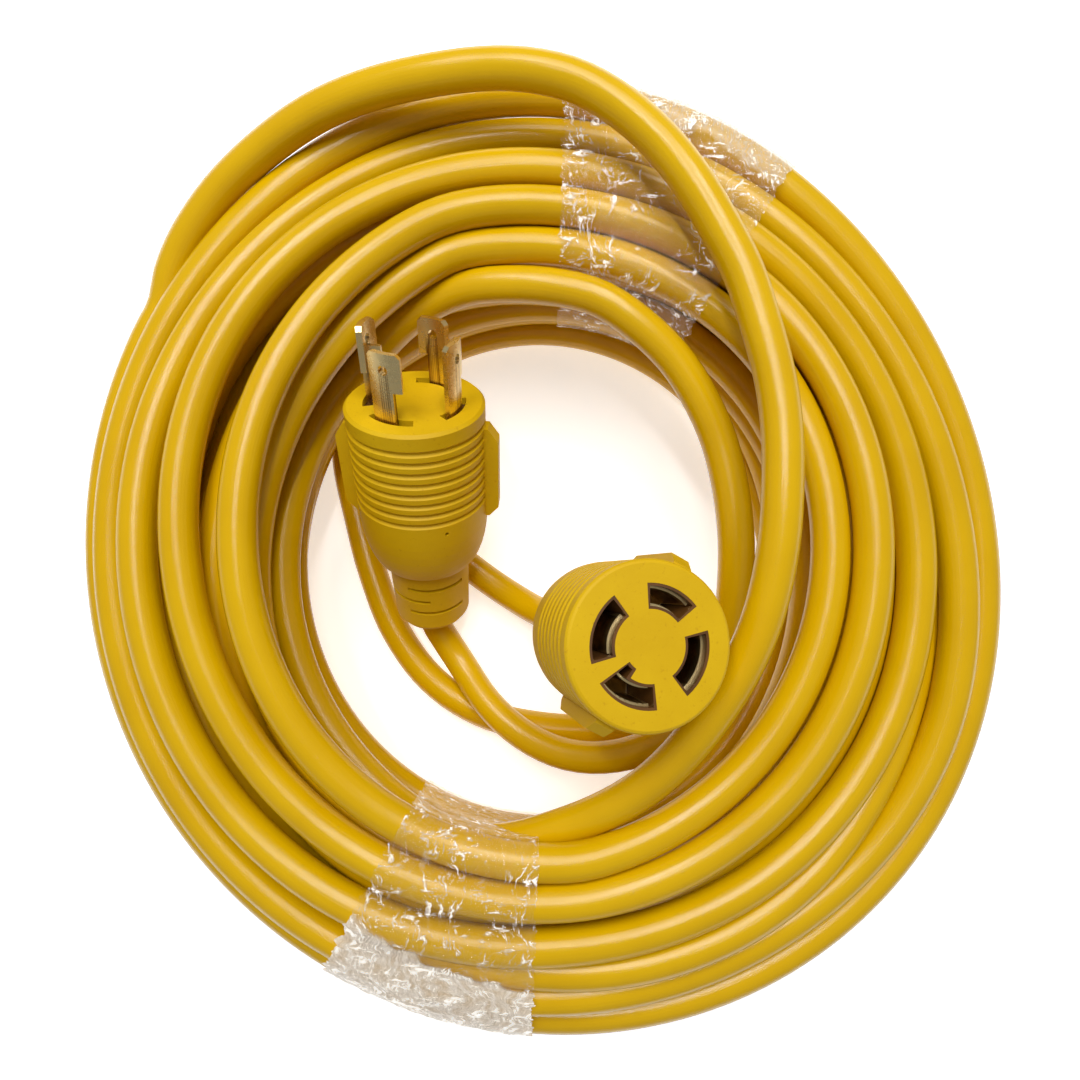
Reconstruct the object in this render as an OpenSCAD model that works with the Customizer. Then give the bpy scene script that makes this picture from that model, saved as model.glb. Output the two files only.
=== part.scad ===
// Coiled shore power cord: a moulded four-blade locking plug and a moulded four-slot
// locking connector on one length of four-core cord, wound into a round coil that two
// bands of stretch film hold together. Millimetres, +Z up, origin at the centre of the
// coil on the surface that it lies on.

/* [Cord] */
// Diameter of the cord over its jacket
cord_d = 12.5; // [12:0.5:13]
// Diameter of one insulated core
core_d = 3.9; // [3.5:0.1:4]
// Diameter of one stranded copper conductor
copper_d = 2.3; // [2:0.1:2.5]
// Distance of each core's centre from the cord's centre
core_pitch_r = 3.2; // [3.1:0.05:3.4]

/* [Coil] */
// Outer radius of the coil
coil_outer_r = 160; // [154:1:165]
// Inner radius of the coil
coil_inner_r = 93; // [90:1:96]
// Height of the coil
coil_h = 92; // [88:1:96]
// Rounding of the coil's section
coil_round = 24; // [15:1:28]

/* [Stretch film] */
// Width of the film band on the far side, measured along the middle of the coil
film_a_w = 62; // [40:1:80]
// Width of the film band on the near side
film_b_w = 58; // [40:1:80]
// Thickness of the wound film
film_t = 0.8; // [0.4:0.1:1.5]

/* [Plug] */
// Diameter of the plug's body
plug_d = 47; // [46:0.5:49]
// Length of the plug's body, without its strain relief
plug_body_l = 66; // [62:1:70]
// Length of the plug's strain relief
plug_neck_l = 30; // [26:1:32]
// Diameter of the plug's strain relief
plug_neck_d = 31; // [28:0.5:33]

/* [Connector] */
// Diameter of the connector's body
conn_d = 49; // [48:0.5:51]
// Length of the connector's body, without its strain relief
conn_body_l = 60; // [56:1:64]
// Length of the connector's strain relief
conn_neck_l = 16; // [12:1:18]

/* [Contacts] */
// Outer radius of the circle of blades
blade_r = 16.2; // [15.8:0.1:16.4]
// Thickness of a blade
blade_t = 1.9; // [1.6:0.1:2]
// Width of a blade's wide end, along the arc
blade_w = 11; // [10:0.5:12]
// Length of a power blade beyond the face
blade_l = 23; // [21:0.5:25]
// Length of the earth blade beyond the face
earth_l = 25.5; // [24:0.5:27]

/* [Hidden] */

$fn = 64;
jacket_col = [0.84, 0.67, 0.05];
mould_col = [0.82, 0.65, 0.06];
nylon_col = [0.16, 0.10, 0.07];
brass_col = [0.72, 0.58, 0.30];
copper_col = [0.72, 0.40, 0.24];
film_col = [0.85, 0.86, 0.86, 0.5];
overlap = 0.01;

// Where the plug and the connector lie: the centre of each face, and the turn that
// brings the local +Z, which points out of the face, to its place.
plug_pos = [-45, 51, 83];
plug_rot = [-48, 0, -3];
conn_pos = [28, -27, 117];
conn_rot = [0, 13, 0];
plug_l = plug_body_l + plug_neck_l;
conn_l = conn_body_l + conn_neck_l;

// Blades and slots, as angles about the axis seen on the face, in the order that mates.
earth_a = 170;
line_x_a = 250;
neutral_a = 345;
line_y_a = 70;
earth_slot = [216, 273];
line_x_slot = [129, 192];
neutral_slot = [41, 90];
line_y_slot = [-50, 11];

// Angles of the two film bands about the coil
film_a_angle = 72;
film_b_angle = 253;

// ---- placing ------------------------------------------------------------------------

module place_plug() {
    translate(plug_pos) rotate([0, 0, plug_rot[2]]) rotate([plug_rot[0], 0, 0]) children();
}

module place_connector() {
    translate(conn_pos) rotate(conn_rot) children();
}

// The same placings for a point, so that the cord can start exactly at each mouth.
function plug_point(p) =
    let (c = cos(plug_rot[0]), s = sin(plug_rot[0]), y = c * p[1] - s * p[2], z = s * p[1] + c * p[2])
    plug_pos + [cos(plug_rot[2]) * p[0] - sin(plug_rot[2]) * y, sin(plug_rot[2]) * p[0] + cos(plug_rot[2]) * y, z];
function conn_point(p) =
    let (c = cos(conn_rot[1]), s = sin(conn_rot[1]))
    conn_pos + [c * p[0] + s * p[2], p[1], c * p[2] - s * p[0]];

// ---- shared shapes ------------------------------------------------------------------

// A piece of a ring: radii r1 to r2, angles a1 to a2, from z1 up to z2.
module arc_block(r1, r2, a1, a2, z1, z2) {
    rotate([0, 0, a1]) rotate_extrude(angle = a2 - a1) translate([r1, z1]) square([r2 - r1, z2 - z1]);
}

// The coil's section, grown outwards by g but never below the floor.
module coil_section(g = 0) {
    w = coil_outer_r - coil_inner_r + 2 * g;
    r = coil_round + g;
    intersection() {
        translate([coil_inner_r - g, -g]) union() {
            translate([r, 0]) square([w - 2 * r, coil_h + 2 * g]);
            translate([0, r]) square([w, coil_h + 2 * g - 2 * r]);
            for (x = [r, w - r], y = [r, coil_h + 2 * g - r]) translate([x, y]) circle(r);
        }
        translate([1, 0]) square([2 * coil_outer_r, 2 * coil_h]);
    }
}

// Half the angle that a film band covers, from its width at the middle of the coil.
function half_angle(w) = w / 2 / ((coil_outer_r + coil_inner_r) / 2) * 180 / PI;

module film_band(mid_angle, w) {
    rotate([0, 0, mid_angle - half_angle(w)]) rotate_extrude(angle = 2 * half_angle(w)) difference() {
        coil_section();
        coil_section(-film_t);
    }
}

// ---- cord: tubes swept along a route -------------------------------------------------

function unit(v) = v / norm(v);
function tangent(p, i) =
    i == 0 ? unit(p[1] - p[0]) :
    i == len(p) - 1 ? unit(p[i] - p[i - 1]) :
    unit(unit(p[i + 1] - p[i]) + unit(p[i] - p[i - 1]));
function square_to(v, t) = unit(v - (v * t) * t);
function sides_at(p, i) =
    i == 0 ? square_to(abs(tangent(p, 0)[2]) < 0.8 ? [0, 0, 1] : [p[0][0], p[0][1], 0], tangent(p, 0)) :
    square_to(sides_at(p, i - 1), tangent(p, i));
function ring_at(p, i, n, r) =
    let (u = sides_at(p, i), v = cross(tangent(p, i), u))
    [for (k = [0 : n - 1]) p[i] + r * (cos(360 * k / n) * u + sin(360 * k / n) * v)];

module tube_along(p, n = 10, r = cord_d / 2) {
    rings = [for (i = [0 : len(p) - 1]) each ring_at(p, i, n, r)];
    last = (len(p) - 1) * n;
    walls = [
        for (i = [0 : len(p) - 2], k = [0 : n - 1])
            let (a = i * n + k, b = i * n + (k + 1) % n) each [[a, a + n, b], [b, a + n, b + n]]
    ];
    first_cap = [for (k = [0 : n - 1]) k];
    last_cap = [for (k = [n - 1 : -1 : 0]) last + k];
    polyhedron(points = rings, faces = concat([first_cap], walls, [last_cap]));
}

// The routes, clockwise seen from above, as points on the cord's centre line.
over_turn_route = [
    [-145, 84, 58], [-137, 107, 64], [-122, 126, 70], [-100, 142, 77], [-78, 151, 84], [-58, 155, 89],
    [-40, 156, 93], [-22, 156, 96], [-5, 153, 99], [10, 148, 100], [23, 139, 101], [34, 128, 102],
    [44, 114, 103], [52, 100, 103], [59, 86, 103], [64, 70, 103], [68, 54, 103], [70, 38, 103],
    [70, 21, 103], [69, 4, 102], [63, -25, 98], [49, -53, 91], [30, -76, 82], [4, -92, 72],
    [-24, -100, 64], [-50, -93, 58]
];
inner_turn_route = [
    [92, -48, 8], [72, -62, 7], [48, -70, 7], [22, -73, 7], [-4, -72, 7], [-27, -67, 7], [-50, -53, 7],
    [-67, -31, 7], [-78, -4, 7], [-85, 22, 7], [-90, 50, 8]
];
plug_mouth = plug_point([0, 0, -plug_l]);
plug_tail_route = [
    [-76, 70, 46], [-66, 78, 52], [-54, 86, 60], [-42, 91, 67], [-29, 94, 72], [-14, 94, 75],
    [2, 92, 77], [17, 88, 77], [31, 79, 76], [43, 68, 74], [52, 55, 72], [59, 40, 70], [63, 24, 69],
    [65, 8, 68], [65, -16, 64], [62, -42, 57], [50, -63, 47], [29, -76, 38], [6, -78, 30],
    [-9, -73, 24], [-21, -65, 19], [-29, -57, 15], [-35, -49, 11], [-40, -42, 9], [-45, -34, 10],
    plug_point([0, 0, -plug_l - 8]), plug_mouth
];
conn_mouth = conn_point([0, 0, -conn_l]);
conn_tail_route = [
    conn_mouth, conn_point([0, 0, -conn_l - 8]), [4, -25, 27], [-5, -22, 17], [-16, -16, 10],
    [-31, -6, 7], [-49, 9, 7], [-63, 28, 7], [-74, 48, 8], [-79, 68, 9]
];

module cord_coil() {
    color(jacket_col) difference() {
        rotate_extrude() coil_section();
        film_band(film_a_angle, film_a_w);
        film_band(film_b_angle, film_b_w);
    }
}

module cord_over_turn() {
    color(jacket_col) tube_along(over_turn_route);
}

module cord_inner_turn() {
    color(jacket_col) tube_along(inner_turn_route);
}

module cord_tail_plug() {
    color(jacket_col) tube_along(plug_tail_route);
}

module cord_tail_connector() {
    color(jacket_col) tube_along(conn_tail_route);
}

module film_band_far() {
    color(film_col) film_band(film_a_angle, film_a_w);
}

module film_band_near() {
    color(film_col) film_band(film_b_angle, film_b_w);
}

// ---- cores and conductors, the same in the plug and the connector ---------------------

// A core's route in the plane at angle a: straight down from radius r0 at height z0,
// in towards the axis, and straight on at the cord's own pitch from height z1 to z2.
// The two ends run on by up and down.
function core_route(a, r0, z0, z1, z2, up, down) = [
    for (q = [
        [r0, z0 + up], [r0, z0 - 2.5], [r0 - 1.2, z0 - 6],
        [core_pitch_r + 1.2, z1 + 4], [core_pitch_r, z1], [core_pitch_r, z2 - down]
    ]) [q[0] * cos(a), q[0] * sin(a), q[1]]
];

// ---- plug ----------------------------------------------------------------------------

plug_face_t = 2.5;
plug_carrier_d = 40;
plug_carrier_l = 14;
plug_carrier_z = -plug_face_t - plug_carrier_l;
barrel_d = 5.4;
barrel_l = 10;
barrel_seat = 0.6;
plug_barrel_z = plug_carrier_z - barrel_l;
plug_gather_z = -plug_body_l + 6;
blade_mid_r = blade_r - blade_t / 2;
plug_barrel_r = blade_mid_r - 1;
core_sides = 10;
deg_per_mm = 180 / PI / blade_mid_r;
wide_a = blade_w * deg_per_mm;
narrow_a = 0.73 * wide_a;
step_z = 10.5;
blade_root = 9;
hook_r = 9.6;
plug_blade_angles = [earth_a, line_x_a, neutral_a, line_y_a];
function plug_core_route(a, up = 0, down = 0) =
    core_route(a, plug_barrel_r, plug_barrel_z, plug_gather_z, -plug_l, up, down);

grip_n = 8;
grip_pitch = 4.1;
grip_start = 5;
groove_depth = 0.9;

// One side of the row of grip grooves on a body of radius r, from z = -start down.
function grooves(r, n, pitch, start, depth) = [
    for (i = [0 : n - 1], q = [[0, 0], [0.35, 1], [0.65, 1], [1, 0]])
        [r - depth * q[1], -start - pitch * (i + 0.15 + 0.55 * q[0])]
];
// The quarter ellipse that closes the body in to the strain relief.
function dome(r, neck_r, z_from, z_to, n = 9) = [
    for (i = [0 : n]) [neck_r + (r - neck_r) * cos(90 * i / n), z_from - (z_from - z_to) * sin(90 * i / n)]
];

module plug_outline() {
    r = plug_d / 2;
    dome_z = -plug_body_l + 24;
    polygon(concat(
        [[0, 0], [r - 1, 0], [r, -1]],
        grooves(r, grip_n, grip_pitch, grip_start, groove_depth),
        dome(r, plug_neck_d / 2, dome_z, -plug_body_l),
        [
            [plug_neck_d / 2 - 0.7, -plug_l + 3], [plug_neck_d / 2 - 2.2, -plug_l + 0.6],
            [plug_neck_d / 2 - 4, -plug_l], [0, -plug_l]
        ]
    ));
}

// A flat wing on the side of a body, cut slantwise at both ends.
module wing(r, from, to, proud, thick) {
    rotate([90, 0, 0]) translate([0, 0, -thick / 2]) linear_extrude(thick) polygon([
        [r - 4, -from], [r + proud * 0.25, -from], [r + proud, -from - 5],
        [r + proud, -to + 4], [r + proud * 0.25, -to], [r - 4, -to]
    ]);
}

// Arc-shaped cuts that let the strain relief bend.
module neck_cuts(r, rows) {
    for (q = rows) arc_block(r - 3.6, r + 2, q[1] - 44, q[1] + 44, q[0] - 0.8, q[0] + 0.8);
}

module blade_windows() {
    for (a = plug_blade_angles)
        arc_block(blade_r - blade_t - 0.8, blade_r + 0.9, a - wide_a / 2 - 8, a + wide_a / 2 + 8, -plug_face_t - overlap, 1);
    arc_block(hook_r - 0.6, blade_r - 0.4, earth_a + wide_a / 2 - 22, earth_a + wide_a / 2 + 4, -plug_face_t - overlap, 1);
}

module plug_cores(d) {
    for (a = plug_blade_angles) tube_along(plug_core_route(a, 0.5, 0.5), core_sides, d / 2);
}

module plug_overmould() {
    neck_r = plug_neck_d / 2;
    color(mould_col) place_plug() difference() {
        union() {
            rotate_extrude() plug_outline();
            for (a = [0, 180]) rotate([0, 0, a]) wing(plug_d / 2, 8, 44, 4.5, 6);
        }
        translate([0, 0, plug_carrier_z]) cylinder(d = plug_carrier_d, h = plug_carrier_l);
        for (a = plug_blade_angles) rotate([0, 0, a]) translate([plug_barrel_r, 0, plug_barrel_z])
            cylinder(d = barrel_d, h = barrel_l);
        blade_windows();
        plug_cores(core_d);
        translate([0, 0, -plug_l - 1]) cylinder(d = cord_d, h = plug_l + 1 + plug_gather_z - 4);
        neck_cuts(neck_r, [
            [-plug_body_l - 7, 290], [-plug_body_l - 19, 290], [-plug_body_l - 13, 235],
            [-plug_body_l - 7, 110], [-plug_body_l - 19, 110], [-plug_body_l - 13, 55]
        ]);
        rotate([0, 0, 300]) translate([plug_d / 2 - 3, 0, -plug_body_l + 26]) rotate([0, 90, 0]) cylinder(d = 1.4, h = 6);
    }
}

module plug_blade_carrier() {
    color(nylon_col) place_plug() difference() {
        translate([0, 0, plug_carrier_z]) cylinder(d = plug_carrier_d, h = plug_carrier_l);
        for (a = plug_blade_angles)
            arc_block(blade_r - blade_t, blade_r, a - wide_a / 2, a - wide_a / 2 + narrow_a,
                plug_carrier_z - 1, -plug_face_t + 1);
        for (a = plug_blade_angles) rotate([0, 0, a]) translate([plug_barrel_r, 0, plug_carrier_z - 1])
            cylinder(d = barrel_d, h = 1 + barrel_seat);
        hook(-plug_face_t + 1);
    }
}

// The inward hook on the earth blade's anticlockwise side, up to the height top.
module hook(top) {
    end = earth_a - wide_a / 2 + narrow_a - 1;
    arc_block(hook_r, blade_mid_r, end - 8, end, -plug_face_t - blade_root, top);
}

// A blade: a curved plate, wide towards its tip and narrow at its foot, with a hole,
// and a crimp barrel behind the carrier.
module blade(a, length) {
    from = a - wide_a / 2;
    difference() {
        union() {
            arc_block(blade_r - blade_t, blade_r, from, from + narrow_a, plug_carrier_z, length);
            arc_block(blade_r - blade_t, blade_r, from, from + wide_a, step_z, length);
        }
        rotate([0, 0, a]) translate([blade_r - blade_t - 3, 0, length - 5.4]) rotate([0, 90, 0]) rotate([0, 0, 25])
            cylinder(d = 3.2, h = blade_t + 6);
        for (side = [0, 1]) rotate([0, 0, from + side * wide_a]) translate([blade_mid_r, 0.4 * side - 0.2, length])
            rotate([0, 90, 0]) rotate([0, 0, 45]) cube([2.2, 2.2, 3 * blade_t], center = true);
    }
    rotate([0, 0, a]) translate([plug_barrel_r, 0, plug_barrel_z]) difference() {
        cylinder(d = barrel_d, h = barrel_l + barrel_seat);
        translate([0, 0, -1]) cylinder(d = copper_d, h = barrel_l);
    }
}

module blade_earth() {
    color(brass_col) place_plug() {
        blade(earth_a, earth_l);
        hook(earth_l - 7);
    }
}

module blade_neutral() {
    color(brass_col) place_plug() blade(neutral_a, blade_l);
}

module blade_line_x() {
    color(brass_col) place_plug() blade(line_x_a, blade_l);
}

module blade_line_y() {
    color(brass_col) place_plug() blade(line_y_a, blade_l);
}

module plug_core(a) {
    place_plug() difference() {
        tube_along(plug_core_route(a), core_sides, core_d / 2);
        tube_along(plug_core_route(a, 0.5, 0.5), core_sides, copper_d / 2);
    }
}

module plug_core_green() {
    color("green") plug_core(earth_a);
}

module plug_core_white() {
    color("white") plug_core(neutral_a);
}

module plug_core_black() {
    color([0.1, 0.1, 0.1]) plug_core(line_x_a);
}

module plug_core_red() {
    color("red") plug_core(line_y_a);
}

module plug_conductors() {
    color(copper_col) place_plug() for (a = plug_blade_angles)
        tube_along(plug_core_route(a, barrel_l - 1), core_sides, copper_d / 2);
}

module plug_jacket_end() {
    color(jacket_col) place_plug() difference() {
        translate([0, 0, -plug_l]) cylinder(d = cord_d, h = plug_l + plug_gather_z - 4);
        plug_cores(core_d);
    }
}

// ---- connector -------------------------------------------------------------------------

slot_r1 = 11.2;
slot_r2 = 16.9;
slot_hook_r = 8.2;
slot_hook_a = 14;
rim = 0.8;
conn_face_t = 2.5;
conn_carrier_d = 41;
conn_carrier_z = -22;
conn_back_z = -26;
conn_barrel_z = conn_back_z - barrel_l;
conn_gather_z = -conn_body_l + 4;
leaf_t = 0.7;
leaf_top = -3;
slots = [earth_slot, line_x_slot, neutral_slot, line_y_slot];
conn_barrel_r = 14;
contact_barrel_d = 5;
function conn_core_route(a, up = 0, down = 0) =
    core_route(a, conn_barrel_r, conn_barrel_z, conn_gather_z, -conn_l, up, down);

function mid(s) = (s[0] + s[1]) / 2;

// One slot, grown by g on every side, from z1 up to z2. The earth slot has a hook.
module slot(s, g, z1, z2) {
    ga = g * 180 / PI / slot_r2;
    arc_block(slot_r1 - g, slot_r2 + g, s[0] - ga, s[1] + ga, z1, z2);
    if (s == earth_slot) arc_block(slot_hook_r - g, slot_r1 + 1, s[0] - ga, s[0] + slot_hook_a + 2 * ga, z1, z2);
}

module connector_outline() {
    r = conn_d / 2;
    neck_r = 14.5;
    polygon(concat(
        [[0, 0], [r - 1.2, 0], [r - 0.5, -0.4], [r, -1.2]],
        grooves(r, 7, 4.6, 5, 0.7),
        dome(r, neck_r, -conn_body_l + 20, -conn_body_l),
        [[neck_r - 0.6, -conn_l + 2.5], [neck_r - 2, -conn_l + 0.5], [neck_r - 3.5, -conn_l], [0, -conn_l]]
    ));
}

module connector_cores(d) {
    for (s = slots) tube_along(conn_core_route(mid(s), 0.5, 0.5), core_sides, d / 2);
}

module connector_overmould() {
    color(mould_col) place_connector() difference() {
        union() {
            rotate_extrude() connector_outline();
            for (a = [62, 242]) rotate([0, 0, a]) wing(conn_d / 2, 5, 44, 4, 6);
        }
        translate([0, 0, conn_back_z]) cylinder(d = conn_carrier_d, h = -conn_face_t - conn_back_z);
        for (s = slots) {
            slot(s, rim, -conn_face_t - overlap, 1);
            rotate([0, 0, mid(s)]) translate([conn_barrel_r, 0, conn_barrel_z]) cylinder(d = contact_barrel_d, h = barrel_l + 1);
        }
        connector_cores(core_d);
        translate([0, 0, -conn_l - 1]) cylinder(d = cord_d, h = conn_l + 1 + conn_gather_z - 4);
        neck_cuts(14.5, [[-conn_body_l - 6, 200], [-conn_body_l - 6, 20], [-conn_body_l - 11, 290], [-conn_body_l - 11, 110]]);
    }
}

module connector_contact_carrier() {
    color(nylon_col) place_connector() difference() {
        union() {
            translate([0, 0, conn_carrier_z]) cylinder(d = conn_carrier_d, h = -conn_face_t - conn_carrier_z);
            for (s = slots) slot(s, rim, -conn_face_t - 1, -0.15);
        }
        for (s = slots) slot(s, 0, conn_carrier_z - 1, 1);
    }
}

module connector_carrier_back() {
    color(nylon_col) place_connector() difference() {
        translate([0, 0, conn_back_z]) cylinder(d = conn_carrier_d, h = conn_carrier_z - conn_back_z);
        for (s = slots) rotate([0, 0, mid(s)]) translate([conn_barrel_r, 0, conn_back_z - 1])
            cylinder(d = contact_barrel_d, h = 6);
    }
}

// A contact: two curved leaves that wipe both faces of a blade, a floor that joins
// them, and a crimp barrel through the carrier's back.
module contact(s) {
    gap_a = 2;
    w = slot_r2 - slot_r1;
    rotate([0, 0, s[0] + gap_a]) rotate_extrude(angle = s[1] - s[0] - 2 * gap_a) translate([slot_r1, 0]) polygon([
        [0, conn_carrier_z], [w, conn_carrier_z], [w, leaf_top], [w - leaf_t, leaf_top],
        [w - leaf_t, conn_carrier_z + leaf_t], [leaf_t, conn_carrier_z + leaf_t], [leaf_t, leaf_top], [0, leaf_top]
    ]);
    rotate([0, 0, mid(s)]) translate([conn_barrel_r, 0, conn_barrel_z]) difference() {
        cylinder(d = contact_barrel_d, h = conn_carrier_z - conn_barrel_z + leaf_t / 2);
        translate([0, 0, -1]) cylinder(d = copper_d, h = barrel_l);
    }
}

module contact_earth() {
    color(brass_col) place_connector() contact(earth_slot);
}

module contact_neutral() {
    color(brass_col) place_connector() contact(neutral_slot);
}

module contact_line_x() {
    color(brass_col) place_connector() contact(line_x_slot);
}

module contact_line_y() {
    color(brass_col) place_connector() contact(line_y_slot);
}

module connector_core(s) {
    place_connector() difference() {
        tube_along(conn_core_route(mid(s)), core_sides, core_d / 2);
        tube_along(conn_core_route(mid(s), 0.5, 0.5), core_sides, copper_d / 2);
    }
}

module connector_core_green() {
    color("green") connector_core(earth_slot);
}

module connector_core_white() {
    color("white") connector_core(neutral_slot);
}

module connector_core_black() {
    color([0.1, 0.1, 0.1]) connector_core(line_x_slot);
}

module connector_core_red() {
    color("red") connector_core(line_y_slot);
}

module connector_conductors() {
    color(copper_col) place_connector() for (s = slots)
        tube_along(conn_core_route(mid(s), barrel_l - 1), core_sides, copper_d / 2);
}

module connector_jacket_end() {
    color(jacket_col) place_connector() difference() {
        translate([0, 0, -conn_l]) cylinder(d = cord_d, h = conn_l + conn_gather_z - 4);
        connector_cores(core_d);
    }
}

cord_coil();
cord_over_turn();
cord_inner_turn();
cord_tail_plug();
cord_tail_connector();
film_band_far();
film_band_near();
plug_overmould();
plug_blade_carrier();
blade_earth();
blade_neutral();
blade_line_x();
blade_line_y();
plug_core_green();
plug_core_white();
plug_core_black();
plug_core_red();
plug_conductors();
plug_jacket_end();
connector_overmould();
connector_contact_carrier();
connector_carrier_back();
contact_earth();
contact_neutral();
contact_line_x();
contact_line_y();
connector_core_green();
connector_core_white();
connector_core_black();
connector_core_red();
connector_conductors();
connector_jacket_end();
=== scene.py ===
"""Shore power cord: the wound cord, its film wraps, and the finish of its plug and connector.

Everything is in metres in the CAD frame: +Z is up out of the coil and Z = 0 is the floor.
"""

import math

import bpy
import numpy as np
from mathutils import Euler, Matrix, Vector, noise


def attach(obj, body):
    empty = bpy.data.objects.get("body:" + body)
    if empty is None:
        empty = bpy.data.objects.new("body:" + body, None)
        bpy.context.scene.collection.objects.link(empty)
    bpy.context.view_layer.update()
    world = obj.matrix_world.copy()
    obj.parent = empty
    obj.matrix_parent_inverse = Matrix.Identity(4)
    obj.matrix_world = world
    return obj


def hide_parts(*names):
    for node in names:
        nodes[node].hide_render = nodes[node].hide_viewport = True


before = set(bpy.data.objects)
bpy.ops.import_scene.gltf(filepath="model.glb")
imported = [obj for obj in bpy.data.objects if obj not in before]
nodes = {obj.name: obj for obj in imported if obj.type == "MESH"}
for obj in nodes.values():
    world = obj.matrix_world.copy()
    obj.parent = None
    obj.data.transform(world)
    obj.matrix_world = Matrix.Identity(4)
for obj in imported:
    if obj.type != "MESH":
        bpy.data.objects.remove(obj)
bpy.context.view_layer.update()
rng = np.random.default_rng(5)

# ---- the cord's dimensions -------------------------------------------------------------

CORD_D = 0.0125
TURNS = 27
PLUG_POS = (-0.045, 0.051, 0.083)
PLUG_TURN = (-48, 0, -3)
PLUG_L = 0.096
CONN_POS = (0.028, -0.027, 0.117)
CONN_TURN = (0, 13, 0)
CONN_L = 0.076
# How far each end of the cord runs on inside its moulding's mouth.
IN_MOUTH = 0.004


def placed(pos, turn, z):
    """The point at height z on the axis of a part that part.scad turns about X, Y, then Z."""
    turned = Euler([math.radians(a) for a in turn], "XYZ").to_matrix()
    return tuple(turned @ Vector((0, 0, z)) + Vector(pos))


# The routes of part.scad, clockwise seen from above, as points on the cord's centre line.
OVER_TURN = [
    (-0.145, 0.084, 0.058), (-0.137, 0.107, 0.064), (-0.122, 0.126, 0.070), (-0.100, 0.142, 0.077),
    (-0.078, 0.151, 0.084), (-0.058, 0.155, 0.089), (-0.040, 0.156, 0.093), (-0.022, 0.156, 0.096),
    (-0.005, 0.153, 0.099), (0.010, 0.148, 0.100), (0.023, 0.139, 0.101), (0.034, 0.128, 0.102),
    (0.044, 0.114, 0.103), (0.052, 0.100, 0.103), (0.059, 0.086, 0.103), (0.064, 0.070, 0.103),
    (0.068, 0.054, 0.103), (0.070, 0.038, 0.103), (0.070, 0.021, 0.103), (0.069, 0.004, 0.102),
    (0.063, -0.025, 0.098), (0.049, -0.053, 0.091), (0.030, -0.076, 0.082), (0.004, -0.092, 0.072),
    (-0.024, -0.100, 0.064), (-0.050, -0.093, 0.058),
]
INNER_TURN = [
    (0.092, -0.048, 0.008), (0.072, -0.062, 0.007), (0.048, -0.070, 0.007), (0.022, -0.073, 0.007),
    (-0.004, -0.072, 0.007), (-0.027, -0.067, 0.007), (-0.050, -0.053, 0.007), (-0.067, -0.031, 0.007),
    (-0.078, -0.004, 0.007), (-0.085, 0.022, 0.007), (-0.090, 0.050, 0.008),
]
PLUG_TAIL = [
    (-0.076, 0.070, 0.046), (-0.066, 0.078, 0.052), (-0.054, 0.086, 0.060), (-0.042, 0.091, 0.067),
    (-0.029, 0.094, 0.072), (-0.014, 0.094, 0.075), (0.002, 0.092, 0.077), (0.017, 0.088, 0.077),
    (0.031, 0.079, 0.076), (0.043, 0.068, 0.074), (0.052, 0.055, 0.072), (0.059, 0.040, 0.070),
    (0.063, 0.024, 0.069), (0.065, 0.008, 0.068), (0.065, -0.016, 0.064), (0.062, -0.042, 0.057),
    (0.050, -0.063, 0.047), (0.029, -0.076, 0.038), (0.006, -0.078, 0.030), (-0.009, -0.073, 0.024),
    (-0.021, -0.065, 0.019), (-0.029, -0.057, 0.015), (-0.035, -0.049, 0.011), (-0.040, -0.042, 0.009),
    (-0.045, -0.034, 0.010),
]
CONN_START = [
    (0.004, -0.025, 0.027), (-0.005, -0.022, 0.017), (-0.016, -0.016, 0.010), (-0.031, -0.006, 0.007),
]
CONN_TAIL = [
    (-0.049, 0.009, 0.007), (-0.063, 0.028, 0.007), (-0.074, 0.048, 0.008), (-0.079, 0.068, 0.009),
]

# The last five turns lie in sight on top. Each row is one turn, as the radius and height at
# every 45 degrees clockwise from the back left: back left, back, back right, right, front
# right, front, front left, left.
TOP_TURNS = [
    [
        (0.103, 0.076), (0.108, 0.074), (0.100, 0.076), (0.090, 0.084),
        (0.093, 0.080), (0.098, 0.076), (0.100, 0.085), (0.096, 0.092),
    ],
    [
        (0.112, 0.088), (0.118, 0.079), (0.113, 0.082), (0.101, 0.087),
        (0.107, 0.083), (0.110, 0.080), (0.117, 0.080), (0.118, 0.085),
    ],
    [
        (0.138, 0.084), (0.131, 0.080), (0.124, 0.076), (0.122, 0.073),
        (0.128, 0.072), (0.127, 0.071), (0.137, 0.073), (0.136, 0.081),
    ],
    [
        (0.153, 0.068), (0.154, 0.068), (0.135, 0.073), (0.137, 0.068),
        (0.146, 0.066), (0.149, 0.064), (0.153, 0.062), (0.153, 0.066),
    ],
    [
        (0.169, 0.067), (0.165, 0.079), (0.149, 0.066), (0.150, 0.062),
        (0.163, 0.060), (0.163, 0.055), (0.161, 0.048), (0.165, 0.056),
    ],
]
# The ring's inner and outer turns: the radius of their centre line at the same eight places.
INNER_R = [0.101, 0.100, 0.095, 0.087, 0.098, 0.108, 0.102, 0.097]
OUTER_R = [0.173, 0.160, 0.149, 0.150, 0.162, 0.163, 0.158, 0.158]
# The hidden layers from the floor up: the height, and each turn's place from the inside out.
LAYERS = [
    (0.0065, [0.24, 0.47, 0.70, 0.93]),
    (0.020, [0.88, 0.63, 0.38, 0.14]),
    (0.034, [0.08, 0.36, 0.64, 0.92]),
    (0.048, [0.93, 0.65, 0.38, 0.12]),
    (0.061, [0.16, 0.46, 0.78]),
    (0.070, [0.55, 0.20]),
]

# Places in each turn where the turns are moved apart.
STATIONS = 96
# How strongly a stretch is held to its plan: pinned ones don't move at all.
PINNED = 1.0
SEEN = 0.5
HIDDEN = 0.05
SETTLE_STEPS = 420
# The last steps only move the turns apart, without pulling them back to the plan.
FREE_STEPS = 80
PATH_STEP = 0.005


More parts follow.
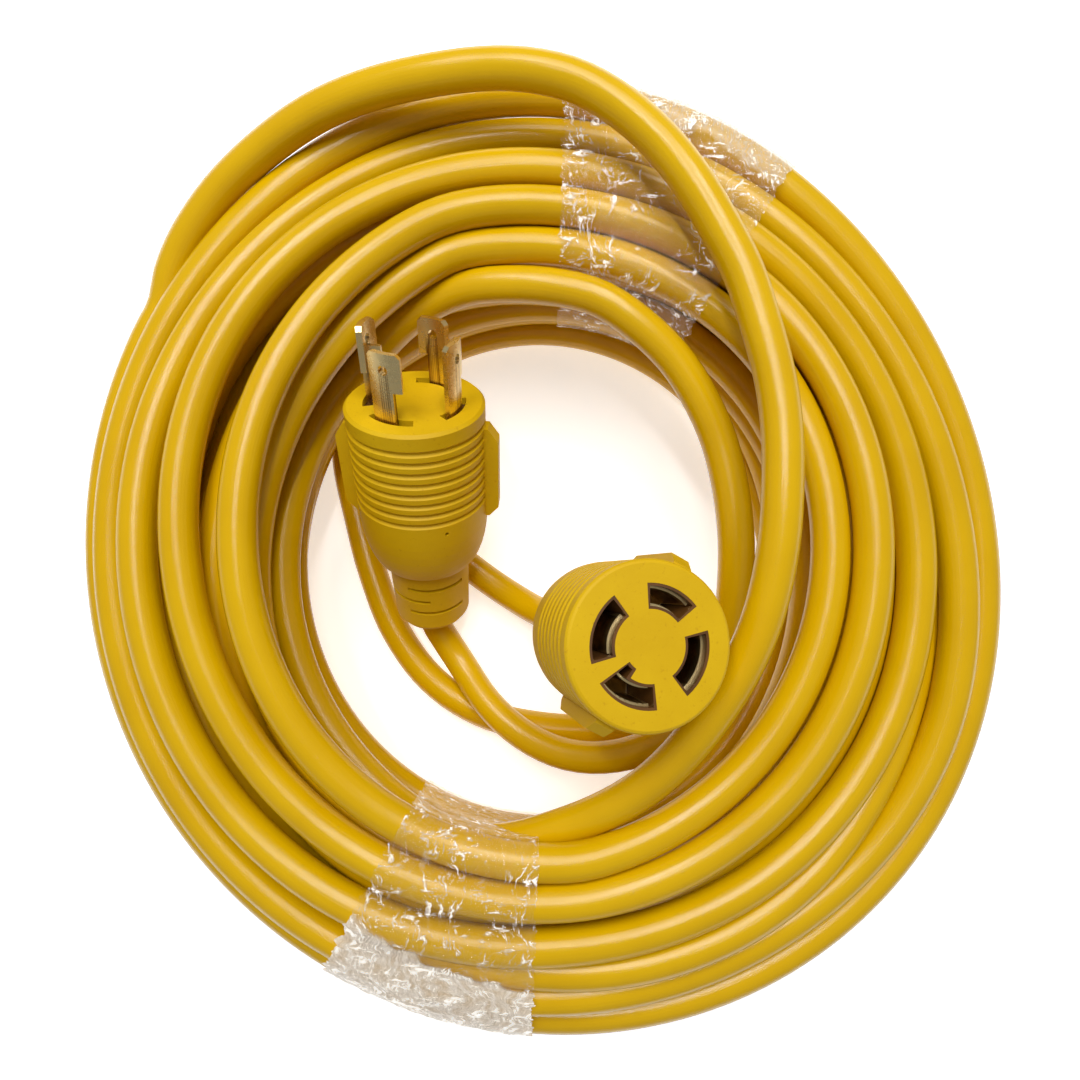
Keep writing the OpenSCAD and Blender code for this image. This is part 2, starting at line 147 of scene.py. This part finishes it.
# ---- the cord's path ---------------------------------------------------------------------


def smooth_through(x, y, at):
    """The values at the places at of a smooth line through the points (x, y)."""
    slope = np.gradient(y, x)
    i = np.clip(np.searchsorted(x, at, side="right") - 1, 0, len(x) - 2)
    h = x[i + 1] - x[i]
    t = (at - x[i]) / h
    a = (1 + 2 * t) * (1 - t) ** 2
    b = t * (1 - t) ** 2 * h
    c = t * t * (3 - 2 * t)
    d = t * t * (t - 1) * h
    return a * y[i] + b * slope[i] + c * y[i + 1] + d * slope[i + 1]


def clockwise(route, turns, hold):
    """A route as rows of clockwise angle in degrees, radius, height and hold."""
    p = np.array(route)
    angle = 360 * turns - np.degrees(np.unwrap(np.arctan2(p[:, 1], p[:, 0])))
    return np.column_stack([angle, np.hypot(p[:, 0], p[:, 1]), p[:, 2], np.full(len(p), hold)])


def hidden_turns():
    """Radius share and height of each hidden turn in the order they were wound."""
    return [(share, height) for height, shares in LAYERS for share in shares]


def wound_turns():
    """Rows for the ring's own turns, one every 45 degrees, each turn moving to the next one's place."""
    cells = hidden_turns()
    rows = []
    for i in range(TURNS - 1):
        for k in range(8):
            angle = 225 + 360 * i + 45 * k
            if i >= len(cells):
                r, z = TOP_TURNS[i - len(cells)][k]
                rows.append((angle, r, z, SEEN))
                continue
            share, z = cells[i]
            if i + 1 < len(cells):
                on = k / 8
                share += (cells[i + 1][0] - share) * on
                z += (cells[i + 1][1] - z) * on
            r = INNER_R[k] + share * (OUTER_R[k] - INNER_R[k])
            r += rng.uniform(-0.004, 0.004)
            z += rng.uniform(-0.003, 0.003)
            rows.append((angle, r, z, HIDDEN))
    return rows


def plan():
    """The whole cord, connector end first, as rows of angle, radius, height and hold."""
    first_lane = [(120, 0.105), (90, 0.103), (45, 0.096), (0, 0.095)]
    last_lane = [(-150, 0.102, 0.056), (-190, 0.099, 0.051)]
    rows = [clockwise(CONN_TAIL, 0, PINNED)]
    rows.append([(-a, r, 0.0065, HIDDEN) for a, r in first_lane])
    rows.append(clockwise(INNER_TURN, 0, PINNED))
    rows.append(wound_turns())
    rows.append(clockwise(OVER_TURN, TURNS, PINNED))
    rows.append([(360 * TURNS - a, r, z, SEEN) for a, r, z in last_lane])
    rows.append(clockwise(PLUG_TAIL, TURNS + 1, PINNED))
    return np.vstack(rows)


def settle(angle, target, hold):
    """Moves the turns apart until none lies in another, and rests them on the floor and each other."""
    count = len(angle)
    rows = math.ceil(count / STATIONS)
    p = np.zeros((rows * STATIONS, 2))
    p[:, 0] = 9 + np.arange(len(p))
    p[:count] = target
    free = np.zeros(len(p))
    free[:count] = np.where(hold >= PINNED, 0, np.where(hold >= SEEN, 0.4, 1))
    weight = free.reshape(rows, STATIONS)
    share = weight[:, None] / (weight[:, None] + weight[None] + 1e-9)
    alone = np.eye(rows)[:, :, None]
    loose = free[:count, None]
    moving = (loose > 0)[1:-1]
    for step in range(SETTLE_STEPS):
        q = p[:count]
        if step <= SETTLE_STEPS - FREE_STEPS:
            q += loose * hold[:, None] * (target - q)
            q[:, 1] -= np.where(hold < SEEN, 0.00008, 0)
        for _ in range(2):
            q[1:-1] += moving * 0.3 * ((q[:-2] + q[2:]) / 2 - q[1:-1])
        grid = p.reshape(rows, STATIONS, 2)
        gap = grid[:, None] - grid[None]
        far = np.hypot(gap[..., 0], gap[..., 1]) + alone
        push = np.clip(CORD_D * 1.01 - far, 0, None) / far
        grid += 0.6 * (gap * (push * share)[..., None]).sum(axis=1)
        q[:, 1] = np.maximum(q[:, 1], CORD_D / 2)
    return p[:count]


plan_rows = plan()
angle = np.arange(plan_rows[0, 0], plan_rows[-1, 0], 360 / STATIONS)
target = np.column_stack([smooth_through(plan_rows[:, 0], plan_rows[:, i], angle) for i in (1, 2)])
before = np.clip(np.searchsorted(plan_rows[:, 0], angle, side="right") - 1, 0, len(plan_rows) - 2)
hold = np.minimum(plan_rows[before, 3], plan_rows[before + 1, 3])
section = settle(angle, target, hold)


def to_xyz(angle_deg, r, z):
    a = np.radians(angle_deg)
    return np.column_stack([r * np.cos(a), -r * np.sin(a), z])


def even_path(points, step):
    """Points every step along a smooth line through the given ones."""
    p = np.array(points)
    along = np.concatenate([[0], np.cumsum(np.linalg.norm(np.diff(p, axis=0), axis=1))])
    fine = np.arange(0, along[-1], 0.001)
    line = np.column_stack([smooth_through(along, p[:, i], fine) for i in range(3)])
    run = np.concatenate([[0], np.cumsum(np.linalg.norm(np.diff(line, axis=0), axis=1))])
    at = np.linspace(0, run[-1], round(run[-1] / step) + 1)
    return np.column_stack([np.interp(at, run, line[:, i]) for i in range(3)]), run[-1]


conn_end = [placed(CONN_POS, CONN_TURN, IN_MOUTH - CONN_L), placed(CONN_POS, CONN_TURN, -CONN_L - 0.008)]
plug_end = [placed(PLUG_POS, PLUG_TURN, -PLUG_L - 0.008), placed(PLUG_POS, PLUG_TURN, IN_MOUTH - PLUG_L)]
middle = to_xyz(angle, section[:, 0], section[:, 1])
cord_points = np.vstack([conn_end, CONN_START, middle, plug_end])
cord_path, cord_run = even_path(cord_points, PATH_STEP)
cord_path = cord_path[::-1]


# ---- the tube ------------------------------------------------------------------------------


def add_mesh(name, points, faces, uv=None):
    """A smooth-shaded mesh object; uv is one (u, v) for each face corner."""
    mesh = bpy.data.meshes.new(name)
    mesh.from_pydata([tuple(p) for p in points], [], faces)
    mesh.update()
    mesh.shade_smooth()
    if uv is not None:
        layer = mesh.uv_layers.new(name="UVMap")
        layer.data.foreach_set("uv", np.asarray(uv, np.float32).ravel())
    obj = bpy.data.objects.new(name, mesh)
    bpy.context.collection.objects.link(obj)
    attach(obj, "root")
    return obj


def frames_along(path):
    """Unit side vectors u and v at each point of a path, turned as little as possible."""
    tangent = np.gradient(path, axis=0)
    tangent /= np.linalg.norm(tangent, axis=1)[:, None]
    u = np.zeros_like(path)
    side = np.cross(tangent[0], (0, 0, 1))
    for i, t in enumerate(tangent):
        side = side - t * side.dot(t)
        side = side / np.linalg.norm(side)
        u[i] = side
    return u, np.cross(tangent, u)


def cord_tube(name, path, radius, sides, step):
    """A closed tube along path, with the faint twist of the cores inside it."""
    u, v = frames_along(path)
    n = len(path)
    a = 2 * math.pi * np.arange(sides) / sides
    along = step * np.arange(n)
    twist = 2 * math.pi * along / 0.21
    swell = 1 + 0.012 * np.cos(4 * a[None] - twist[:, None])
    ring = radius * swell
    points = path[:, None] + ring[..., None] * (
        np.cos(a)[None, :, None] * u[:, None] + np.sin(a)[None, :, None] * v[:, None]
    )
    faces = []
    uv = []
    for i in range(n - 1):
        for k in range(sides):
            j = (k + 1) % sides
            faces.append((i * sides + k, i * sides + j, (i + 1) * sides + j, (i + 1) * sides + k))
            left = k / sides
            right = (k + 1) / sides
            uv += [(left, along[i]), (right, along[i]), (right, along[i + 1]), (left, along[i + 1])]
    faces.append(tuple(range(sides - 1, -1, -1)))
    faces.append(tuple((n - 1) * sides + k for k in range(sides)))
    uv += [(0, 0)] * (2 * sides)
    return add_mesh(name, points.reshape(-1, 3), faces, uv)


CORD_SIDES = 18
cord = cord_tube("cord", cord_path, CORD_D / 2, CORD_SIDES, PATH_STEP)
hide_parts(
    "cord_coil", "cord_over_turn", "cord_inner_turn", "cord_tail_plug", "cord_tail_connector"
)

# ---- the film wraps ------------------------------------------------------------------------

FILM_GAP = 0.0006
# The way round the ring's section under the film.
# Where each wrap lies, in degrees anticlockwise from +X, its width along the ring, and how
# milky it is outside which radius.
WRAPS = {
    "far": {
        "centre": 73, "width": 0.066, "node": "film_band_far",
        "milky": 0.3, "milky_from": 0.152,
    },
    "near": {
        "centre": 254.5, "width": 0.058, "node": "film_band_near",
        "milky": 0.72, "milky_from": 0.137,
    },
}
FILM_ROUND = 420
FILM_ACROSS = 70

# The stretch of the cord's clockwise angle that the film goes round: the over turn stays out.
ring_from = 209
ring_to = 360 * TURNS - 151


def ring_turns(at):
    """Radius and height of every turn of the ring at an angle in degrees anticlockwise from +X."""
    first = ring_from + (-at - ring_from) % 360
    places = np.arange(first, ring_to, 360)
    r = np.interp(places, angle, section[:, 0])
    z = np.interp(places, angle, section[:, 1])
    return np.column_stack([r, z])


def around(points, middle, directions, skin):
    """How far the stretched skin round the points lies from the middle, in each direction."""
    normals = 2 * math.pi * np.arange(240) / 240
    n = np.column_stack([np.cos(normals), np.sin(normals)])
    support = ((points - middle) @ n.T).max(axis=0) + skin
    d = np.column_stack([np.cos(directions), np.sin(directions)])
    facing = d @ n.T
    reach = np.where(facing > 0.05, support[None] / np.maximum(facing, 0.05), 9)
    return reach.min(axis=1)


def crinkle(a, b, seed):
    """Height in 0 to 1 of the film's crossing folds at a along the ring and b round it, in metres."""
    p = Vector((a * 170 + b * 60, b * 150 - a * 40, seed))
    fold = 1 - abs(noise.noise(p))
    q = Vector((a * 420 - b * 170, b * 330 + a * 120, seed + 5))
    small = 1 - abs(noise.noise(q))
    return 0.65 * fold**4 + 0.35 * small**4


def film_wrap(name, wrap, seed):
    """A sleeve of stretched film round the ring's turns, with torn edges and crossing folds."""
    directions = 2 * math.pi * np.arange(FILM_ROUND) / FILM_ROUND
    slices = []
    middle = np.array((0.125, 0.045))
    half = math.degrees(wrap["width"] / 0.125) / 2
    span = np.linspace(-half, half, FILM_ACROSS)
    for offset in span:
        turns = ring_turns(wrap["centre"] + offset)
        slices.append(around(turns, middle, directions, CORD_D / 2 + FILM_GAP))
    reach = np.array(slices)
    points = []
    cloud = []
    for i, offset in enumerate(span):
        for k, d in enumerate(directions):
            edge = abs(offset) / half
            torn = 0.9 * noise.noise(Vector((k * 0.11, 3 if offset > 0 else 8, seed)))
            torn += 0.5 * noise.noise(Vector((k * 0.45, 5 if offset > 0 else 2, seed)))
            at = wrap["centre"] + offset + edge**6 * torn
            out = reach[i, k] + 0.0006 * crinkle(math.radians(offset) * 0.125, d * 0.055, seed)
            r = middle[0] + out * math.cos(d)
            z = max(0.0004, middle[1] + out * math.sin(d))
            a = math.radians(at)
            points.append((r * math.cos(a), r * math.sin(a), z))
            start = wrap["milky_from"] + 0.005 * offset / half
            start += 0.004 * noise.noise(Vector((i * 0.13, k * 0.09, seed)))
            cloud.append(wrap["milky"] * min(1, max(0, (r - start) / 0.002)))
    faces = []
    for i in range(FILM_ACROSS - 1):
        for k in range(FILM_ROUND):
            j = (k + 1) % FILM_ROUND
            near = i * FILM_ROUND
            far = near + FILM_ROUND
            faces.append((near + k, near + j, far + j, far + k))
    film = add_mesh(name, points, faces)
    layer = film.data.attributes.new("cloud", "FLOAT", "POINT")
    layer.data.foreach_set("value", cloud)
    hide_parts(wrap["node"])
    round_length = np.linalg.norm(np.diff(np.array(points[: FILM_ROUND]), axis=0), axis=1).sum()
    print(name, "length round the ring", round(float(round_length), 4))
    return film


films = {}
for seed, (which, wrap) in enumerate(WRAPS.items()):
    films[which] = film_wrap("film_wrap_" + which, wrap, 11 + 7 * seed)

# ---- materials -----------------------------------------------------------------------------


class Shader:
    """A node material, built one node at a time."""

    def __init__(self, name):
        self.material = bpy.data.materials.new(name)
        self.material.use_nodes = True
        self.tree = self.material.node_tree
        self.surface = self.tree.nodes["Principled BSDF"]

    def add(self, kind, inputs=None, **settings):
        node = self.tree.nodes.new(kind)
        for key, value in settings.items():
            setattr(node, key, value)
        for key, value in (inputs or {}).items():
            self.feed(node, key, value)
        return node

    def feed(self, node, key, value):
        """Sets a socket to a value, or links it to another node's socket."""
        if isinstance(value, bpy.types.NodeSocket):
            self.tree.links.new(value, node.inputs[key])
        else:
            node.inputs[key].default_value = value

    def ramp(self, factor, stops):
        """A colour ramp through (place, colour) stops."""
        node = self.add("ShaderNodeValToRGB", {"Fac": factor})
        elements = node.color_ramp.elements
        while len(elements) < len(stops):
            elements.new(0.5)
        for element, (place, colour) in zip(elements, stops):
            element.position = place
            element.color = colour
        return node.outputs["Color"]

    def noise(self, vector, scale, detail=3, roughness=0.5):
        inputs = {"Vector": vector, "Scale": scale, "Detail": detail, "Roughness": roughness}
        node = self.add("ShaderNodeTexNoise", inputs)
        return node.outputs["Fac"]

    def mix(self, factor, a, b):
        node = self.add("ShaderNodeMix", data_type="RGBA")
        self.feed(node, 0, factor)
        self.feed(node, 6, a)
        self.feed(node, 7, b)
        return node.outputs[2]

    def sum_of(self, a, b, weight=1.0):
        """a + weight * b"""
        node = self.add("ShaderNodeMath", operation="MULTIPLY_ADD")
        self.feed(node, 0, b)
        self.feed(node, 1, weight)
        self.feed(node, 2, a)
        return node.outputs[0]

    def bump(self, height, strength, distance):
        node = self.add("ShaderNodeBump", {"Height": height, "Strength": strength, "Distance": distance})
        self.feed(self.surface, "Normal", node.outputs["Normal"])


def grey(value):
    return (value, value, value, 1)


def linear(r, g, b):
    """A colour as it shows on the screen, 0 to 255, as the linear values a shader takes."""
    values = [c / 255 for c in (r, g, b)]
    return tuple(c / 12.92 if c <= 0.04045 else ((c + 0.055) / 1.055) ** 2.4 for c in values) + (1,)


def jacket_material():
    """Yellow cord jacket: lengthwise drawing lines, faint mottling and scuffs."""
    s = Shader("jacket_yellow")
    uv = s.add("ShaderNodeUVMap").outputs["UV"]
    place = s.add("ShaderNodeTexCoord").outputs["Object"]
    lines = s.add("ShaderNodeMapping", {"Vector": uv, "Scale": (9, 3.5, 1)}).outputs["Vector"]
    streak = s.noise(lines, 6, 5, 0.6)
    mottle = s.noise(place, 45, 4)
    broad = s.noise(place, 9, 2)
    grain = s.noise(place, 2600, 2)
    tone = s.ramp(mottle, [(0.3, linear(208, 163, 0)), (0.7, linear(218, 174, 2))])
    worn = s.ramp(broad, [(0.35, linear(204, 158, 0)), (0.65, linear(216, 172, 2))])
    colour = s.mix(0.4, tone, worn)
    scuff = s.ramp(s.noise(lines, 21, 6, 0.7), [(0.66, grey(0)), (0.78, grey(1))])
    s.feed(s.surface, "Base Color", s.mix(scuff, colour, linear(226, 188, 40)))
    s.feed(s.surface, "Roughness", s.ramp(streak, [(0.3, grey(0.14)), (0.7, grey(0.25))]))
    s.feed(s.surface, "Specular IOR Level", 0.38)
    s.bump(s.sum_of(s.sum_of(grain, streak, 1.6), mottle, 1.2), 0.35, 0.00012)
    return s.material


def moulding_material():
    """Matte moulded vinyl: fine spark grain, flow marks, darker pore specks."""
    s = Shader("moulding_yellow")
    place = s.add("ShaderNodeTexCoord").outputs["Object"]
    grain = s.noise(place, 2200, 3)
    pores = s.noise(place, 700, 4, 0.6)
    flow = s.noise(place, 40, 4, 0.6)
    tone = s.ramp(flow, [(0.3, linear(204, 162, 2)), (0.7, linear(214, 174, 4))])
    speck = s.ramp(pores, [(0.30, grey(1)), (0.38, grey(0))])
    s.feed(s.surface, "Base Color", s.mix(speck, tone, linear(198, 154, 2)))
    s.feed(s.surface, "Roughness", s.ramp(flow, [(0.2, grey(0.5)), (0.8, grey(0.62))]))
    s.feed(s.surface, "Specular IOR Level", 0.25)
    s.bump(s.sum_of(grain, pores, 0.8), 0.5, 0.0001)
    return s.material


def nylon_material():
    """Darker amber insert behind the connector's slots."""
    s = Shader("nylon_amber")
    place = s.add("ShaderNodeTexCoord").outputs["Object"]
    flow = s.noise(place, 120, 4)
    s.feed(s.surface, "Base Color", s.ramp(flow, [(0.3, linear(74, 44, 14)), (0.7, linear(104, 66, 22))]))
    s.feed(s.surface, "Roughness", 0.45)
    s.bump(s.noise(place, 1500, 3), 0.3, 0.0001)
    return s.material


def metal_material(name, dull, bright, rough, scratch):
    """Rubbed metal: tarnish in patches, bright worn edges, fine scratches along the blade."""
    s = Shader(name)
    place = s.add("ShaderNodeTexCoord").outputs["Object"]
    patch = s.noise(place, 190, 5, 0.6)
    long_marks = s.add("ShaderNodeMapping", {"Vector": place, "Scale": (1, 1, 0.12)}).outputs["Vector"]
    marks = s.noise(long_marks, 1500, 4, 0.7)
    edge = s.add("ShaderNodeNewGeometry").outputs["Pointiness"]
    rub = s.ramp(edge, [(0.53, grey(0)), (0.58, grey(1))])
    tone = s.ramp(patch, [(0.35, dull), (0.62, bright)])
    s.feed(s.surface, "Base Color", s.mix(rub, tone, linear(240, 218, 160)))
    s.feed(s.surface, "Metallic", 1.0)
    s.feed(s.surface, "Roughness", s.ramp(patch, [(0.3, grey(rough + 0.12)), (0.7, grey(rough))]))
    s.bump(s.sum_of(marks, patch, 0.8), scratch, 0.0002)
    return s.material


def core_material(name, colour):
    """Insulation of one core: slightly glossy, faint lengthwise variation."""
    s = Shader(name)
    place = s.add("ShaderNodeTexCoord").outputs["Object"]
    flow = s.noise(place, 300, 3)
    pale = tuple(min(1, c * 1.25 + 0.01) for c in colour[:3]) + (1,)
    s.feed(s.surface, "Base Color", s.ramp(flow, [(0.3, colour), (0.7, pale)]))
    s.feed(s.surface, "Roughness", 0.4)
    s.bump(s.noise(place, 1800, 2), 0.25, 0.0001)
    return s.material


def film_material():
    """Clear stretch film: milky where many layers lie together; the crossing creases carry painted
    highlights, and the film has a painted glow, strongest on those highlights.
    """
    s = Shader("film_clear")
    place = s.add("ShaderNodeTexCoord").outputs["Object"]
    warp = s.noise(place, 60, 3)
    bent = s.add("ShaderNodeMix", data_type="VECTOR")
    s.feed(bent, 0, 0.02)
    s.feed(bent, 4, place)
    s.feed(bent, 5, warp)
    skew = s.add("ShaderNodeMapping", {"Vector": bent.outputs[1]})
    s.feed(skew, "Rotation", (0.4, 0.7, 0.9))
    s.feed(skew, "Scale", (1, 0.22, 0.5))
    creases = s.noise(skew.outputs["Vector"], 520, 6, 0.75)
    other = s.add("ShaderNodeMapping", {"Vector": place})
    s.feed(other, "Rotation", (0.2, -0.5, -0.8))
    s.feed(other, "Scale", (0.25, 1, 0.5))
    cross = s.noise(other.outputs["Vector"], 430, 6, 0.75)
    milk_and_glow = s.add("ShaderNodeAttribute", attribute_name="cloud").outputs["Fac"]
    # Painted highlights: bright streaks along and across the creases, in patches, stand in for lamp
    # glints on the creased film.
    cluster = s.ramp(s.noise(place, 95, 3), [(0.40, grey(0)), (0.54, grey(1))])
    crease_glint_mask = s.ramp(creases, [(0.555, grey(0)), (0.61, grey(1))])
    cross_glint_mask = s.ramp(cross, [(0.565, grey(0)), (0.615, grey(1))])
    painted_crease_glints = s.mix(cluster, grey(0), s.mix(0.5, crease_glint_mask, cross_glint_mask))
    veined = s.ramp(creases, [(0.35, grey(0.55)), (0.6, grey(1.2))])
    cloudy = s.mix(milk_and_glow, grey(0), veined)
    cover = s.sum_of(cloudy, painted_crease_glints, 1.7)
    # Painted glow: emission lights the film faintly everywhere, more where it is milky and most on the
    # painted crease highlights.
    s.feed(s.surface, "Emission Color", (1, 0.98, 0.94, 1))
    s.feed(s.surface, "Emission Strength", s.sum_of(s.sum_of(0.02, milk_and_glow, 0.2), painted_crease_glints, 0.8))
    s.feed(s.surface, "Base Color", s.mix(creases, linear(226, 210, 184), linear(252, 248, 240)))
    s.feed(s.surface, "Roughness", 0.3)
    height = s.sum_of(creases, cross, 1.0)
    s.bump(height, 0.9, 0.0007)
    gloss = s.add("ShaderNodeBsdfGlossy", {"Color": grey(1), "Roughness": 0.08})
    bump = s.surface.inputs["Normal"].links[0].from_socket
    s.feed(gloss, "Normal", bump)
    clear = s.add("ShaderNodeBsdfTransparent", {"Color": (0.99, 0.98, 0.95, 1)})
    facing = s.add("ShaderNodeLayerWeight", {"Blend": 0.5}).outputs["Facing"]
    sheen = s.ramp(facing, [(0, grey(0.06)), (0.7, grey(0.09)), (1, grey(0.45))])
    sheet = s.add("ShaderNodeMixShader")
    s.feed(sheet, 0, sheen)
    s.feed(sheet, 1, clear.outputs[0])
    s.feed(sheet, 2, gloss.outputs[0])
    whole = s.add("ShaderNodeMixShader")
    s.feed(whole, 0, cover)
    s.feed(whole, 1, sheet.outputs[0])
    s.feed(whole, 2, s.surface.outputs[0])
    s.feed(s.tree.nodes["Material Output"], "Surface", whole.outputs[0])
    return s.material


def paint(obj, material):
    """Gives an object one material on all its slots."""
    if not obj.material_slots:
        obj.data.materials.append(material)
    for slot in obj.material_slots:
        slot.material = material


paint(cord, jacket_material())
film_look = film_material()
for film in films.values():
    paint(film, film_look)

moulding = moulding_material()
brass = metal_material("blade_brass", linear(84, 56, 20), linear(148, 108, 48), 0.2, 0.4)
contact_brass = metal_material("contact_brass", linear(96, 66, 24), linear(156, 114, 50), 0.3, 0.3)
copper = metal_material("copper_strands", linear(150, 84, 50), linear(214, 136, 92), 0.3, 0.5)
nylon = nylon_material()
cores = {
    "green": core_material("core_green", linear(30, 120, 50)),
    "white": core_material("core_white", linear(224, 222, 214)),
    "black": core_material("core_black", linear(26, 26, 28)),
    "red": core_material("core_red", linear(176, 30, 26)),
}
for name, obj in nodes.items():
    if name.endswith("overmould"):
        paint(obj, moulding)
    elif "carrier" in name:
        paint(obj, nylon)
    elif name.startswith("blade"):
        paint(obj, brass)
    elif name.startswith("contact"):
        paint(obj, contact_brass)
    elif name.endswith("conductors"):
        paint(obj, copper)
    elif "_core_" in name:
        paint(obj, cores[name.rsplit("_", 1)[1]])
    elif name.endswith("jacket_end"):
        paint(obj, moulding)

# ---- floor, light and camera ---------------------------------------------------------------


def floor():
    """A white table top that stays nearly white under the object."""
    mesh = bpy.data.meshes.new("floor")
    mesh.from_pydata([(-4, -4, 0), (4, -4, 0), (4, 4, 0), (-4, 4, 0)], [], [(0, 1, 2, 3)])
    obj = bpy.data.objects.new("floor", mesh)
    bpy.context.collection.objects.link(obj)
    obj.location.z = -0.0003
    s = Shader("floor_white")
    s.feed(s.surface, "Base Color", grey(0.9))
    s.feed(s.surface, "Roughness", 0.9)
    s.feed(s.surface, "Emission Color", grey(1))
    s.feed(s.surface, "Emission Strength", 0.55)
    paint(obj, s.material)


def strip_light(name, place, aim, size, power):
    """A long soft strip that draws one streak along the cord's jacket."""
    data = bpy.data.lights.new(name, "AREA")
    data.shape = "RECTANGLE"
    data.size = size[0]
    data.size_y = size[1]
    data.energy = power
    obj = bpy.data.objects.new(name, data)
    bpy.context.collection.objects.link(obj)
    obj.location = place
    obj.rotation_euler = (Vector(aim) - Vector(place)).to_track_quat("-Z", "Y").to_euler()


def light_and_camera():
    strip_light("strip_left", (-0.20, 0.30, 0.95), (0, 0, 0), (0.05, 0.6), 3.4)
    strip_light("strip_right", (0.14, 0.40, 0.95), (0, 0, 0), (0.035, 0.6), 2.6)
    strip_light("top_fill", (0, 0.7, 1.1), (0, 0, 0.05), (0.9, 0.5), 6)
    world = bpy.data.worlds.new("studio")
    world.use_nodes = True
    background = world.node_tree.nodes["Background"]
    background.inputs["Color"].default_value = (1, 0.985, 0.96, 1)
    background.inputs["Strength"].default_value = 0.26
    scene = bpy.context.scene
    scene.world = world
    scene.view_settings.view_transform = "Standard"
    data = bpy.data.cameras.new("camera")
    data.lens = 23.33
    data.sensor_width = 36
    data.clip_start = 0.01
    camera = bpy.data.objects.new("camera", data)
    bpy.context.collection.objects.link(camera)
    camera.location = (0, -0.008, 0.313)
    camera.rotation_euler = (math.radians(3.1), math.radians(0.8), 0)
    scene.camera = camera


floor()
light_and_camera()

print("cord run", round(float(cord_run), 4))
